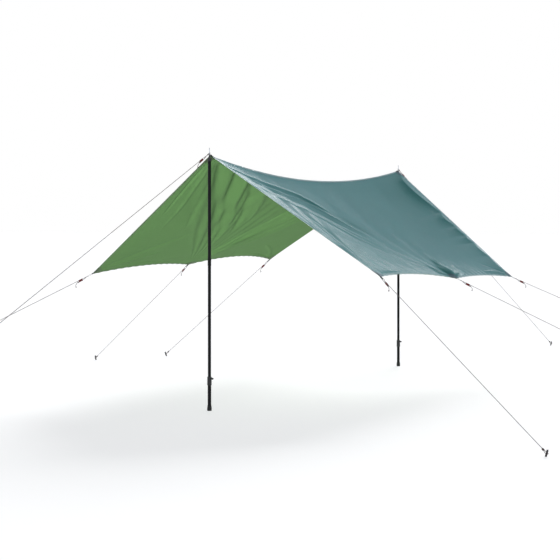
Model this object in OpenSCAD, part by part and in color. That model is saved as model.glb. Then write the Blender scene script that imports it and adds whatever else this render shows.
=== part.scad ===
// Tarp shelter: a six-cornered silnylon canopy over two telescopic poles, held out by eight guy lines.
// +Z is up, +Y runs along the ridge from the front pole to the rear one, and +X is the right-hand side.
// The origin is on the ground, midway between the two poles. All sizes are in millimetres.

/* [Canopy] */
// Height of the canopy where it rests on each pole
peak_h = 2000; // [1800:10:2200]
// Distance between the two poles
pole_spacing = 4000; // [3600:20:4400]
// Half of the width across the corners
corner_x = 1310; // [1200:5:1400]
// Half of the width across the two side tie-outs
side_x = 1335; // [1220:5:1450]
// How far each corner stops short of its pole, measured along the ridge
corner_inset = 330; // [250:5:400]
// How far the middle of the ridge hangs below the peaks
ridge_sag = 150; // [100:5:200]
// How far the middle of a panel hangs below a straight slope
panel_sag = 20; // [0:1:40]
// Thickness that stands for the cloth
cloth_t = 1; // [0.8:0.1:1.5]
// Width of the folded hems
hem_w = 18; // [12:1:25]
// Width of each half of the ridge tape
tape_w = 14; // [10:1:20]

/* [Poles] */
// Outer diameter of the upper and middle tubes
tube_d = 25; // [22:0.5:26]
// Wall of the upper and middle tubes
tube_wall = 1.2; // [1:0.1:1.6]
// Outer diameter of the lower tube, the ferrule and the foot's bore
lower_d = 28; // [28:0.5:30]
// Height of the top of the lower tube
lower_top = 240; // [220:5:280]
// Length of middle tube that sits inside the lower tube
overlap = 75; // [60:5:90]
// Height of the joint between the middle and upper tubes
joint_h = 1165; // [1000:5:1300]
// Diameter of the spike that goes through the canopy
spike_d = 8; // [7:0.5:8.5]
// Length of spike above the canopy
spike_rise = 60; // [55:1:75]

/* [Guy lines] */
// Diameter of the guy line
cord_d = 4; // [3:0.1:4.2]
// Distance from a tie-out to the near end of its slider
slider_gap = 92; // [80:1:120]
// Length of a slider
slider_l = 34; // [30:1:40]
// Length of a stake
stake_l = 175; // [160:5:200]
// Lean of a stake away from the canopy, in degrees
stake_lean = 25; // [15:1:35]
// Height of the guy line where it meets its stake
hook_h = 22; // [18:1:30]

/* [Hidden] */
$fn = 48;
LINES = ["front_left", "mid_left", "rear_left", "rear_right", "mid_right", "front_right",
    "front_pole", "rear_pole"];
PANELS = ["left", "right"];
ENDS = ["front", "rear"];

// Tie-out heights differ a little, as they do on uneven ground: left side, then right side, both front to rear.
TIE_Z = [[1040, 1075, 1085], [1060, 990, 945]];
// Depth of the curve in each half of a side edge: left front, left rear, right front, right rear.
EDGE_CURVE = [[60, 95], [50, 35]];
// Where each guy line meets its stake, in the order of LINES.
HOOKS = [[-3000, -2800], [-3160, 1200], [-2720, 1930], [2990, 3160], [3050, 1000], [3010, -3060],
    [-800, -5330], [700, 5180]];

pole_y = pole_spacing / 2;
ridge_half = pole_y - 10;
corner_y = pole_y - corner_inset;
slope_len = norm([corner_x, peak_h - 1040]);
hem_u = hem_w / slope_len;
hem_v = hem_w / ridge_half;
tape_u = tape_w / slope_len;
across = 8; // cells of cloth from the ridge tape to the hem
along = 32; // cells of cloth from one end hem to the other
patch_t = 0.8;
hem_t = 0.8;
tape_t = 1;
ridge_tilt = atan(2 * ridge_sag / ridge_half); // slope of the ridge at the peaks

// Cell edges from the ridge (0) to the side edge (1), and from the front end (-1) to the rear (1).
HALF_U = concat([0], [for (i = [0:across]) tape_u + i / across * (1 - hem_u - tape_u)], [1]);
ALL_V = concat([-1], [for (j = [0:along]) (1 - hem_v) * (2 * j / along - 1)], [1]);

// A tie-out point: side 0 is left and 1 is right; place 0 is front, 1 the middle and 2 the rear.
function tie(side, place) =
    [(2 * side - 1) * (place == 1 ? side_x : corner_x), (place - 1) * corner_y, TIE_Z[side][place]];

// A point of the side edge, which curves in towards the ridge between its tie-outs.
function edge_point(side, v) = let (
        half = v < 0 ? 0 : 1,
        a = tie(side, half),
        b = tie(side, half + 1),
        f = v < 0 ? v + 1 : v,
        inward = [(1 - 2 * side) * 0.8, 0, 0.6]
    ) a + (b - a) * f + inward * EDGE_CURVE[side][half] * 4 * f * (1 - f);

function ridge_point(v) = [0, v * ridge_half, peak_h - ridge_sag * (1 - v * v)];

// A point on the underside of the canopy: u is -1 at the left edge, 0 at the ridge and 1 at the right edge.
function cloth_point(u, v) = let (w = abs(u))
    ridge_point(v) * (1 - w) + edge_point(u < 0 ? 0 : 1, v) * w
    - [0, 0, panel_sag * 4 * w * (1 - w) * (1 - v * v)];

function reversed(list) = [for (i = [len(list) - 1:-1:0]) list[i]];
function negated(list) = [for (x = reversed(list)) -x];

// A layer of cloth over the cells between US and VS, from lift to lift + thick above the underside.
module layer(US, VS, lift, thick) {
    nu = len(US);
    nv = len(VS);
    n = nu * nv;
    points = [for (z = [lift, lift + thick], v = VS, u = US) cloth_point(u, v) + [0, 0, z]];
    cells = [for (j = [0:nv - 2], i = [0:nu - 2]) j * nu + i];
    // The boundary of the grid, counter-clockwise from above.
    rim = concat(
        [for (i = [0:nu - 1]) i],
        [for (j = [1:nv - 1]) j * nu + nu - 1],
        [for (i = [nu - 2:-1:0]) (nv - 1) * nu + i],
        [for (j = [nv - 2:-1:1]) j * nu]
    );
    faces = concat(
        [for (c = cells) [c, c + 1, c + nu + 1]],
        [for (c = cells) [c, c + nu + 1, c + nu]],
        [for (c = cells) [n + c, n + c + nu + 1, n + c + 1]],
        [for (c = cells) [n + c, n + c + nu, n + c + nu + 1]],
        [for (k = [0:len(rim) - 1]) let (a = rim[k], b = rim[(k + 1) % len(rim)]) [a, n + b, b]],
        [for (k = [0:len(rim) - 1]) let (a = rim[k], b = rim[(k + 1) % len(rim)]) [a, n + a, n + b]]
    );
    polyhedron(points, faces);
}

function side_u(side, list) = side == 0 ? negated(list) : list;

module panel(side) {
    color([0.30, 0.47, 0.45]) layer(side_u(side, HALF_U), ALL_V, 0, cloth_t);
}

module ridge_tape() {
    color([0.26, 0.42, 0.41]) layer([-tape_u, 0, tape_u], ALL_V, cloth_t, tape_t);
}

module side_hem(side) {
    color([0.42, 0.60, 0.50]) layer(side_u(side, [1 - hem_u, 1]), ALL_V, -hem_t, hem_t);
}

module end_hem(end, side) {
    VS = end == 0 ? [-1, hem_v - 1] : [1 - hem_v, 1];
    US = [for (i = [0:across + 1]) HALF_U[i]];
    color([0.42, 0.60, 0.50]) layer(side_u(side, US), VS, -hem_t, hem_t);
}

// Reinforcement at the four corners and the two side tie-outs, sewn on top of the cloth.
module tie_out_patches() {
    US = [for (i = [across:across + 2]) HALF_U[i]];
    middle = along / 2 + 1;
    color([0.24, 0.38, 0.38]) for (side = [0, 1]) {
        layer(side_u(side, US), [for (j = [0:2]) ALL_V[j]], cloth_t, patch_t);
        layer(side_u(side, US), [for (j = [middle - 1:middle + 1]) ALL_V[j]], cloth_t, patch_t);
        layer(side_u(side, US), [for (j = [along:along + 2]) ALL_V[j]], cloth_t, patch_t);
    }
}

// The point that a guy line pulls on, the hook on its stake, and the direction between them.
function tie_of(line) = line < 3 ? tie(0, line) : tie(1, 5 - line);
spike_loop_z = peak_h + 17;
function top_of(line) =
    line == 6 ? [0, -pole_y, spike_loop_z] : line == 7 ? [0, pole_y, spike_loop_z] : tie_of(line);
function hook_of(line) = [HOOKS[line][0], HOOKS[line][1], hook_h];
function pull(line) = let (d = hook_of(line) - top_of(line)) d / norm(d);
function heading(line) = atan2(pull(line)[1], pull(line)[0]);
function dip(line) = asin(-pull(line)[2]);

// Puts +X along a guy line, with the origin where the line starts.
module on_line(line) {
    translate(top_of(line)) rotate([0, dip(line), heading(line)]) children();
}

// Straps fold over at their outer end, where they hold the guy line. The two in the middle of a side
// start a little further out, clear of the curved edge beside them.
loop_end = 40;
loop_start = [0, 4, 0, 0, 4, 0];
loop_w = 15;
loop_t = 2;
loop_gap = 4;
module webbing_loop(start) {
    outer = loop_gap + 2 * loop_t;
    straight = loop_end - outer / 2 - start;
    translate([loop_end - outer / 2, 0, 0]) rotate([90, 0, 0]) linear_extrude(loop_w, center = true)
        difference() {
            union() {
                circle(d = outer);
                translate([-straight, -outer / 2]) square([straight, outer]);
            }
            circle(d = loop_gap);
            translate([-straight / 2, -loop_gap / 2]) square([straight / 2, loop_gap]);
        }
}

module webbing_loops() {
    color([0.10, 0.10, 0.11]) for (line = [0:5]) on_line(line) webbing_loop(loop_start[line]);
}

// Everything on a pole is built on its own axis and moved to the front or rear.
module at_pole(end) {
    translate([0, (2 * end - 1) * pole_y, 0]) children();
}

tab_w = 25;
tab_in = 70;
tab_out = 12;
tab_t = 2.5;
tab_z = peak_h + 4.2;
eyelet_r = 5;
barrel_r = 6.4;
flange_r = 10.5;
flange_t = 1;

// The tab and its grommet slope as the ridge does.
module sloped(end) {
    at_pole(end) translate([0, 0, tab_z]) rotate([(2 * end - 1) * ridge_tilt, 0, 0])
        mirror([0, end == 0 ? 1 : 0, 0]) children();
}

module peak_tab(end) {
    color([0.10, 0.10, 0.11]) sloped(end) difference() {
        translate([-tab_w / 2, -tab_in, 0]) cube([tab_w, tab_in + tab_out, tab_t]);
        translate([0, 0, -1]) cylinder(r = barrel_r + 0.1, h = tab_t + 2);
    }
}

module grommet(end) {
    color([0.62, 0.62, 0.64]) sloped(end) rotate_extrude() union() {
        translate([eyelet_r, -flange_t]) square([barrel_r - eyelet_r, tab_t + 2 * flange_t]);
        translate([eyelet_r, -flange_t]) square([flange_r - eyelet_r, flange_t]);
        translate([eyelet_r, tab_t]) square([flange_r - eyelet_r, flange_t]);
    }
}

neck_r = 6;
neck_top = peak_h + 0.5;
cap_top = peak_h - 20;
tube_top = cap_top - 8;
cap_low = tube_top - 17;
cap_d = tube_d + 3;
spike_low = neck_top - 22;
shank_top = peak_h + 20.8;
pin_low = shank_top + 2;
pin_d = spike_d - 1;
tip_l = 12;

// The shank fills the grommet and carries the pole's guy line, and the thinner pin above it is free.
module spike(end) {
    tip_low = peak_h + spike_rise - tip_l;
    color([0.72, 0.73, 0.75]) at_pole(end) {
        translate([0, 0, spike_low]) cylinder(d = spike_d, h = shank_top - spike_low);
        translate([0, 0, shank_top]) cylinder(d1 = spike_d, d2 = pin_d, h = pin_low - shank_top);
        translate([0, 0, pin_low]) cylinder(d = pin_d, h = tip_low - pin_low);
        translate([0, 0, tip_low]) cylinder(d1 = pin_d, d2 = 3, h = tip_l);
    }
}

module top_cap(end) {
    color([0.06, 0.06, 0.06]) at_pole(end) difference() {
        union() {
            translate([0, 0, cap_low]) cylinder(d = cap_d, h = cap_top - cap_low);
            translate([0, 0, cap_top]) cylinder(r = neck_r, h = neck_top - cap_top);
        }
        translate([0, 0, cap_low - 1]) cylinder(d = tube_d, h = tube_top - cap_low + 1);
        translate([0, 0, spike_low]) cylinder(d = spike_d, h = neck_top - spike_low + 1);
    }
}

module tube(low, high, outer, inner) {
    translate([0, 0, low]) difference() {
        cylinder(d = outer, h = high - low);
        translate([0, 0, -1]) cylinder(d = inner, h = high - low + 2);
    }
}

tube_bore = tube_d - 2 * tube_wall;
module upper_tube(end) {
    color([0.05, 0.05, 0.05]) at_pole(end) tube(joint_h, tube_top, tube_d, tube_bore);
}

module middle_tube(end) {
    color([0.05, 0.05, 0.05]) at_pole(end) tube(lower_top - overlap, joint_h, tube_d, tube_bore);
}

ferrule_l = 60;
module ferrule(end) {
    color([0.09, 0.09, 0.09]) at_pole(end)
        tube(joint_h - ferrule_l / 2, joint_h + ferrule_l / 2, lower_d, tube_d);
}

foot_floor = 8;
slide_bore = tube_d + 0.15; // running clearance for the middle tube
module lower_tube(end) {
    color([0.05, 0.05, 0.05]) at_pole(end) tube(foot_floor, lower_top, lower_d, slide_bore);
}

foot_top = 42;
foot_d = 36;
module foot(end) {
    color([0.04, 0.04, 0.04]) at_pole(end) difference() {
        union() {
            cylinder(d1 = foot_d - 4, d2 = foot_d, h = 4);
            translate([0, 0, 4]) cylinder(d = foot_d, h = 16);
            translate([0, 0, 20]) cylinder(d1 = foot_d, d2 = lower_d + 3, h = foot_top - 20);
        }
        translate([0, 0, foot_floor]) cylinder(d = lower_d, h = foot_top);
    }
}

collar_low = 200;
collar_top = 266;
collar_d = 35;
boss_d = 14;
boss_x = 20;
screw_z = lower_top + 12;
screw_d = 5;
module clamp_collar(end) {
    color([0.07, 0.07, 0.07]) at_pole(end) difference() {
        union() {
            translate([0, 0, collar_low]) cylinder(d = collar_d, h = collar_top - collar_low);
            translate([0, 0, screw_z]) rotate([0, 90, 0]) cylinder(d = boss_d, h = boss_x);
        }
        translate([0, 0, collar_low - 1]) cylinder(d = lower_d, h = lower_top - collar_low + 1);
        translate([0, 0, lower_top - 1]) cylinder(d = slide_bore, h = collar_top);
        translate([0, 0, screw_z]) rotate([0, 90, 0]) cylinder(d = screw_d + 0.1, h = boss_x + 1);
    }
}

knob_d = 15;
knob_l = 12;
knob_x = boss_x + 0.4;
module clamp_screw(end) {
    color([0.12, 0.12, 0.12]) at_pole(end) translate([0, 0, screw_z]) rotate([0, 90, 0]) {
        translate([0, 0, tube_d / 2 + 0.3]) cylinder(d = screw_d, h = knob_x - tube_d / 2);
        difference() {
            translate([0, 0, knob_x]) cylinder(d = knob_d, h = knob_l);
            for (a = [0:45:315]) rotate([0, 0, a])
                translate([knob_d / 2 + 1.2, 0, knob_x - 1]) cylinder(d = 4.5, h = knob_l + 2);
        }
    }
}

// A guy line is a tube swept along its route, eight-sided, with a ring at each point of the route.
function unit(p) = p / norm(p);
function ring(p, ahead) = let (
        across_line = unit(cross(ahead, [0, 0, 1])),
        up = cross(across_line, ahead)
    ) [for (a = [0:45:315]) p + cord_d / 2 * (cos(a) * across_line + sin(a) * up)];
module swept(route) {
    last = len(route) - 1;
    points = [for (i = [0:last])
        each ring(route[i], unit(route[min(i + 1, last)] - route[max(i - 1, 0)]))];
    walls = [for (i = [0:last - 1], k = [0:7])
        let (a = 8 * i + k, b = 8 * i + (k + 1) % 8) [a, b, b + 8, a + 8]];
    polyhedron(points, concat([[for (k = [7:-1:0]) k]], walls, [[for (k = [0:7]) 8 * last + k]]));
}

fin_r = 7.5;
fin_t = 2;
cord_start = [for (line = [0:7]) line < 6 ? loop_end + 0.3 : spike_d / 2 + 1.5];
cord_stop = fin_r + 0.5;
function guy_route(line) = [for (f = [0:0.125:1])
    let (from = top_of(line) + cord_start[line] * pull(line),
        to = hook_of(line) - cord_stop * pull(line))
    from + f * (to - from)];

module guy(line) {
    color([0.45, 0.33, 0.32]) swept(guy_route(line));
}

// Two bores along the line: the guy line runs through one and is knotted in the other.
slider_t = 8.4;
slider_drop = 10;
slider_bore = cord_d + 1.2;
module slider(line) {
    color([0.50, 0.12, 0.10]) on_line(line) translate([slider_gap, 0, 0])
        rotate([90, 0, 90]) linear_extrude(slider_l) difference() {
            union() {
                circle(d = slider_t);
                translate([0, -slider_drop]) circle(d = slider_t);
                translate([-slider_t / 2, -slider_drop]) square([slider_t, slider_drop]);
            }
            circle(d = slider_bore);
            translate([0, -slider_drop]) circle(d = slider_bore);
        }
}

// A three-finned stake with a notch for the guy line and a hole for a pull cord.
head_rise = 26;
point_l = 35;
notch = 2.2;
module stake_section() {
    for (a = [0, 120, 240]) rotate(a) translate([0, -fin_t / 2]) square([fin_r, fin_t]);
    circle(d = fin_t * 1.6);
}

module stake(line) {
    color([0.14, 0.14, 0.15]) translate(hook_of(line)) rotate([0, stake_lean, heading(line)])
        difference() {
            union() {
                translate([0, 0, point_l + head_rise - stake_l])
                    linear_extrude(stake_l - point_l) stake_section();
                intersection() {
                    translate([0, 0, head_rise - stake_l]) linear_extrude(point_l) stake_section();
                    translate([0, 0, head_rise - stake_l]) cylinder(r1 = 0.6, r2 = fin_r + 1, h = point_l);
                }
            }
            translate([fin_r - notch, -fin_t, -2.8]) cube([notch + 1, 2 * fin_t, 5.6]);
            translate([fin_r * 0.6, 0, head_rise - 5]) rotate([90, 0, 0])
                cylinder(d = 2.6, h = 2 * fin_t, center = true);
        }
}

for (side = [0, 1]) {
    panel(side);
    side_hem(side);
    for (end = [0, 1])
        end_hem(end, side);
}
ridge_tape();
tie_out_patches();
webbing_loops();
for (end = [0, 1]) {
    peak_tab(end);
    grommet(end);
    spike(end);
    top_cap(end);
    upper_tube(end);
    ferrule(end);
    middle_tube(end);
    lower_tube(end);
    clamp_collar(end);
    clamp_screw(end);
    foot(end);
}
for (line = [0:7]) {
    guy(line);
    slider(line);
    stake(line);
}
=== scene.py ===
import functools
import math

import bpy
import numpy as np
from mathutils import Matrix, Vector


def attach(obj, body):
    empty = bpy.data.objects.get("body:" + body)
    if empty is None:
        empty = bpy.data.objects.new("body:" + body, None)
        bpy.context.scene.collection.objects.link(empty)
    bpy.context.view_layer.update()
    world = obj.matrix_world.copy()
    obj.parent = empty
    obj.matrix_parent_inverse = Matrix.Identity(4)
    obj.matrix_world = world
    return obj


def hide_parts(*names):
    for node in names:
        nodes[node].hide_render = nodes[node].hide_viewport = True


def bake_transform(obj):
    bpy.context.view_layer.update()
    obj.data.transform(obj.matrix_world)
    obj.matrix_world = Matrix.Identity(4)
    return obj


# The looks of the tarp shelter, in metres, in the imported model's frame: +Z up, the ridge along Y.
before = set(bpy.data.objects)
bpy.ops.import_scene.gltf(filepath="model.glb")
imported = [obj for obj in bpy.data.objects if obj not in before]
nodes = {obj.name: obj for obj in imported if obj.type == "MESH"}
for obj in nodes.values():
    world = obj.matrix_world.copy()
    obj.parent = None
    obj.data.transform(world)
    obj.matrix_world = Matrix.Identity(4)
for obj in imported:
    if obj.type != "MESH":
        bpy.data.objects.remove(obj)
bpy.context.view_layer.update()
rng = np.random.default_rng(7)


# ---- meshes

def add_mesh(name, points, faces, materials, slots=None, uv=None, smooth=True):
    """A mesh object. slots gives each face's material, and uv each point's coordinates."""
    mesh = bpy.data.meshes.new(name)
    mesh.from_pydata(np.asarray(points, float).tolist(), [], faces)
    for material in materials:
        mesh.materials.append(material)
    if slots is not None:
        mesh.polygons.foreach_set("material_index", slots)
    mesh.polygons.foreach_set("use_smooth", [smooth] * len(mesh.polygons))
    if uv is not None:
        corners = np.empty(len(mesh.loops), np.int32)
        mesh.loops.foreach_get("vertex_index", corners)
        layer = mesh.uv_layers.new(name="UVMap")
        layer.data.foreach_set("uv", np.asarray(uv, float)[corners].astype(np.float32).ravel())
    mesh.update()
    piece = bpy.data.objects.new(name, mesh)
    bpy.context.scene.collection.objects.link(piece)
    return piece


def grid_faces(rows, columns, start=0, flip=False, closed_rows=False, closed_columns=False):
    """Faces of a grid whose points are stored row by row."""
    faces = []
    for j in range(rows if closed_rows else rows - 1):
        for i in range(columns if closed_columns else columns - 1):
            a = start + j * columns + i
            b = start + j * columns + (i + 1) % columns
            c = start + (j + 1) % rows * columns + (i + 1) % columns
            d = start + (j + 1) % rows * columns + i
            faces.append((a, d, c, b) if flip else (a, b, c, d))
    return faces


def swept_faces(rows, columns, flip=False):
    """Faces of rings of points along a path, with a cap at each end."""
    caps = [tuple(range(columns - 1, -1, -1)), tuple(range((rows - 1) * columns, rows * columns))]
    faces = grid_faces(rows, columns, flip=flip, closed_columns=True)
    return faces + ([cap[::-1] for cap in caps] if flip else caps)


def grid_rim(rows, columns):
    """The points round the edge of such a grid, in order."""
    return (list(range(columns)) + [j * columns + columns - 1 for j in range(1, rows)]
            + [(rows - 1) * columns + i for i in range(columns - 2, -1, -1)]
            + [j * columns for j in range(rows - 2, 0, -1)])


def arch(f):
    """0 at 0 and 1, and 1 halfway between."""
    return np.sin(math.pi * np.clip(f, 0, 1))


def unit(v):
    """The same directions, each with length 1."""
    v = np.asarray(v, float)
    return v / np.linalg.norm(v, axis=-1, keepdims=True)


def smooth_step(x):
    """0 up to 0, 1 from 1 on, and a smooth rise between them."""
    x = np.clip(x, 0, 1)
    return x * x * (3 - 2 * x)


def gather(points, faces, more, some):
    """Adds the points and faces of a mesh to lists that hold others."""
    faces += [tuple(len(points) + i for i in f) for f in some]
    points.extend(more)


def run_along(points):
    """The distance along a path to each of its points."""
    return np.concatenate([[0], np.cumsum(np.linalg.norm(np.diff(points, axis=0), axis=1))])


def frames_along(points):
    """The tangents of a path and two directions across it that don't twist."""
    points = np.asarray(points, float)
    tangents = unit(np.gradient(points, axis=0))
    first = np.cross(tangents[0], (0.31, 0.17, 0.93))
    across = [unit(first)]
    for t in tangents[1:]:
        last = across[-1]
        across.append(unit(last - t * np.dot(last, t)))
    across = np.array(across)
    return tangents, across, np.cross(tangents, across)


def tube(name, points, radius, material, sides=10):
    """A round tube along a path, closed at both ends. Its uv is (turns round it, diameters along it)."""
    points = np.asarray(points, float)
    _, across, up = frames_along(points)
    angles = 2 * math.pi * np.arange(sides) / sides
    ring = across[:, None] * np.cos(angles)[None, :, None] + up[:, None] * np.sin(angles)[None, :, None]
    rings = points[:, None] + radius * ring
    run = run_along(points) / (2 * radius)
    turn = np.minimum(angles, 2 * math.pi - angles) / math.pi
    uv = np.stack(np.broadcast_arrays(turn[None, :], run[:, None]), -1).reshape(-1, 2)
    return add_mesh(name, rings.reshape(-1, 3), swept_faces(len(points), sides), [material], uv=uv)


def curve_through(points, steps):
    """A smooth path through the points: steps points for each stretch between two of them."""
    p = np.asarray(points, float)
    p = np.concatenate([[2 * p[0] - p[1]], p, [2 * p[-1] - p[-2]]])
    out = []
    for i in range(1, len(p) - 2):
        for t in np.arange(steps) / steps:
            out.append(0.5 * (2 * p[i] + (p[i + 1] - p[i - 1]) * t
                              + (2 * p[i - 1] - 5 * p[i] + 4 * p[i + 1] - p[i + 2]) * t * t
                              + (3 * p[i] - p[i - 1] - 3 * p[i + 1] + p[i + 2]) * t ** 3))
    out.append(p[-2])
    return np.array(out)


# ---- materials

class Nodes:
    """Short ways to add nodes to a tree."""

    def __init__(self, tree):
        self.tree = tree

    def add(self, kind, inputs=None, **settings):
        node = self.tree.nodes.new("ShaderNode" + kind)
        for key, value in settings.items():
            setattr(node, key, value)
        for key, value in (inputs or {}).items():
            if isinstance(value, bpy.types.NodeSocket):
                self.link(value, node.inputs[key])
            else:
                node.inputs[key].default_value = value
        return node

    def link(self, a, b):
        self.tree.links.new(a, b)

    def math(self, operation, a, b=0.0, c=0.0):
        return self.add("Math", {0: a, 1: b, 2: c}, operation=operation).outputs[0]

    def mix(self, factor, a, b):
        """a where factor is 0, and b where it is 1. Each is a socket or a colour."""
        a, b = (x if isinstance(x, bpy.types.NodeSocket) else (*x, 1) for x in (a, b))
        return self.add("Mix", {0: factor, 6: a, 7: b}, data_type="RGBA").outputs[2]


class Paint(Nodes):
    """A Principled material and short ways to give it colour and relief."""

    def __init__(self, name, roughness, ior=1.45, metallic=0.0, sheen=0.0):
        self.material = bpy.data.materials.new(name)
        self.material.use_nodes = True
        super().__init__(self.material.node_tree)
        self.surface = self.tree.nodes["Principled BSDF"]
        self.output = self.tree.nodes["Material Output"]
        self.surface.inputs["Roughness"].default_value = roughness
        self.surface.inputs["IOR"].default_value = ior
        self.surface.inputs["Metallic"].default_value = metallic
        self.surface.inputs["Sheen Weight"].default_value = sheen
        self.coordinates = self.add("TexCoord")

    def stretched(self, source, scale):
        return self.add("Mapping", {"Vector": self.coordinates.outputs[source], "Scale": scale}).outputs[0]

    def noise(self, vector, scale, detail=3.0, roughness=0.5):
        inputs = {"Vector": vector, "Scale": scale, "Detail": detail, "Roughness": roughness}
        return self.add("TexNoise", inputs).outputs["Fac"]

    def ramp(self, factor, low, high):
        """factor, stretched so that low gives 0 and high gives 1."""
        return self.add("MapRange", {"Value": factor, "From Min": low, "From Max": high}).outputs[0]

    def colour(self, socket):
        self.link(socket, self.surface.inputs["Base Color"])

    def bump(self, height, distance, strength=1.0):
        node = self.add("Bump", {"Height": height, "Distance": distance, "Strength": strength})
        self.link(node.outputs[0], self.surface.inputs["Normal"])
        return node.outputs[0]


def grid_lines(paint, uv, pitch, sharp):
    """0 between the threads of a ripstop grid and 1 on them. uv is in metres."""
    parts = paint.add("SeparateXYZ", {0: uv})
    lines = []
    for axis in (0, 1):
        wave = paint.math("COSINE", paint.math("MULTIPLY", parts.outputs[axis], 2 * math.pi / pitch))
        lines.append(paint.math("POWER", paint.math("MULTIPLY_ADD", wave, 0.5, 0.5), sharp))
    return paint.math("MAXIMUM", *lines)


def coated_nylon(name, colour, deep, through, share, roughness, ior):
    """Thin coated ripstop cloth: a satin face, and light from behind it coloured by through. share holds how
    much of it is see-through as met from its face and from its back, which lies against the other layer."""
    paint = Paint(name, roughness, ior)
    uv = paint.coordinates.outputs["UV"]
    cloudy = paint.noise(uv, 1.3, 4.0, 0.6)
    fine = paint.noise(uv, 60.0, 2.0)
    ripstop = grid_lines(paint, uv, 0.006, 14)
    base = paint.mix(paint.ramp(cloudy, 0.3, 0.7), deep, colour)
    base = paint.mix(paint.math("MULTIPLY", ripstop, 0.18), base, [min(1, 1.5 * c) for c in colour])
    paint.colour(base)
    height = paint.math("MULTIPLY_ADD", ripstop, 0.6, paint.math("MULTIPLY", fine, 0.4))
    normal = paint.bump(height, 0.0003, 0.35)
    glow = paint.add("BsdfTranslucent", {"Color": (*through, 1), "Normal": normal})
    behind = paint.add("NewGeometry").outputs["Backfacing"]
    open_share = paint.math("MULTIPLY_ADD", behind, share[1] - share[0], share[0])
    both = paint.add("MixShader", {0: open_share, 1: paint.surface.outputs[0], 2: glow.outputs[0]})
    paint.link(both.outputs[0], paint.output.inputs["Surface"])
    return paint.material


def ribbed_webbing(name, colour, light):
    """Woven tape: ribs across it and a herringbone of threads."""
    paint = Paint(name, 0.75, 1.4, sheen=0.2)
    uv = paint.add("SeparateXYZ", {0: paint.coordinates.outputs["UV"]})
    along = paint.math("MULTIPLY", uv.outputs[0], 2 * math.pi / 0.0011)
    across = paint.math("MULTIPLY", uv.outputs[1], 2 * math.pi / 0.0016)
    rib = paint.math("SINE", paint.math("ADD", along, paint.math("SINE", across)))
    height = paint.math("MULTIPLY_ADD", rib, 0.5, 0.5)
    worn = paint.noise(paint.coordinates.outputs["Object"], 90.0, 4.0)
    paint.colour(paint.mix(paint.math("MULTIPLY", height, paint.ramp(worn, 0.35, 0.75)), colour, light))
    paint.bump(height, 0.00035)
    return paint.material


def braided(name, colour, fleck):
    """Round braided cord with a fleck thread. The uv is (turns, diameters)."""
    paint = Paint(name, 0.62, 1.45, sheen=0.3)
    uv = paint.add("SeparateXYZ", {0: paint.coordinates.outputs["UV"]})
    around = paint.math("MULTIPLY", uv.outputs[0], 4 * math.pi)
    along = paint.math("MULTIPLY", uv.outputs[1], 2 * math.pi / 0.9)
    one = paint.math("SINE", paint.math("ADD", along, around))
    two = paint.math("SINE", paint.math("SUBTRACT", along, around))
    plait = paint.math("MULTIPLY_ADD", paint.math("MAXIMUM", one, two), 0.5, 0.5)
    tracer = paint.math("GREATER_THAN", paint.math("MULTIPLY", one, two), 0.55)
    dirty = paint.noise(paint.coordinates.outputs["Object"], 25.0, 4.0)
    base = paint.mix(paint.ramp(dirty, 0.3, 0.7), colour, [0.72 * c for c in colour])
    paint.colour(paint.mix(paint.math("MULTIPLY", tracer, 0.65), base, fleck))
    paint.bump(plait, 0.0004)
    return paint.material


def metal(name, colour, worn, roughness, metallic=1.0, along=(1, 1, 1), wear=0.62, ior=1.45):
    """Anodised or plated metal: fine drawing lines, and worn spots where the bare metal shows."""
    paint = Paint(name, roughness, ior, metallic)
    lines = paint.noise(paint.stretched("Object", along), 320.0, 3.0)
    spots = paint.noise(paint.coordinates.outputs["Object"], 45.0, 6.0, 0.65)
    paint.colour(paint.mix(paint.ramp(spots, wear, wear + 0.12), colour, worn))
    rough = paint.math("MULTIPLY_ADD", lines, 0.18, roughness - 0.09)
    paint.link(rough, paint.surface.inputs["Roughness"])
    paint.bump(lines, 0.00004)
    return paint.material


def moulded(name, colour, roughness, grain, depth):
    """Moulded plastic or rubber: a fine grain, and slightly dusty in patches."""
    paint = Paint(name, roughness, 1.46)
    place = paint.coordinates.outputs["Object"]
    bumps = paint.noise(place, grain, 4.0)
    dust = paint.noise(place, 38.0, 5.0, 0.6)
    paint.colour(paint.mix(paint.ramp(dust, 0.55, 0.85), colour, [min(1, 2.2 * c + 0.02) for c in colour]))
    paint.bump(bumps, depth)
    return paint.material


def thread(name, colour):
    """Sewing thread: two plies."""
    paint = Paint(name, 0.5, sheen=0.3)
    ply = paint.noise(paint.coordinates.outputs["Object"], 2400.0, 2.0)
    paint.colour(paint.mix(ply, colour, [0.7 * c for c in colour]))
    paint.bump(ply, 0.0001)
    return paint.material


OUTER = coated_nylon("canopy_outer", (0.036, 0.172, 0.168), (0.028, 0.150, 0.146), (0.62, 0.80, 0.72),
                     (0.06, 0.90), 0.19, 1.40)
INNER = coated_nylon("canopy_inner", (0.085, 0.125, 0.065), (0.065, 0.105, 0.05), (0.182, 0.300, 0.108),
                     (0.66, 0.30), 0.50, 1.12)
HEM_OUTER = coated_nylon("hem_outer", (0.22, 0.32, 0.32), (0.18, 0.28, 0.28), (0.42, 0.62, 0.58), (0.06, 0.5),
                         0.28, 1.45)
HEM_INNER = coated_nylon("hem_inner", (0.13, 0.20, 0.10), (0.11, 0.18, 0.085), (0.42, 0.76, 0.32),
                         (0.30, 0.3), 0.45, 1.2)
PATCH_OUTER = coated_nylon("patch_outer", (0.078, 0.135, 0.152), (0.06, 0.11, 0.125), (0.3, 0.45, 0.42),
                           (0.05, 0.4), 0.24, 1.42)
PATCH_INNER = coated_nylon("patch_inner", (0.13, 0.21, 0.10), (0.11, 0.18, 0.08), (0.30, 0.55, 0.22),
                           (0.25, 0.2), 0.5, 1.15)
WEBBING = ribbed_webbing("webbing", (0.018, 0.018, 0.020), (0.075, 0.075, 0.08))
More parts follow.
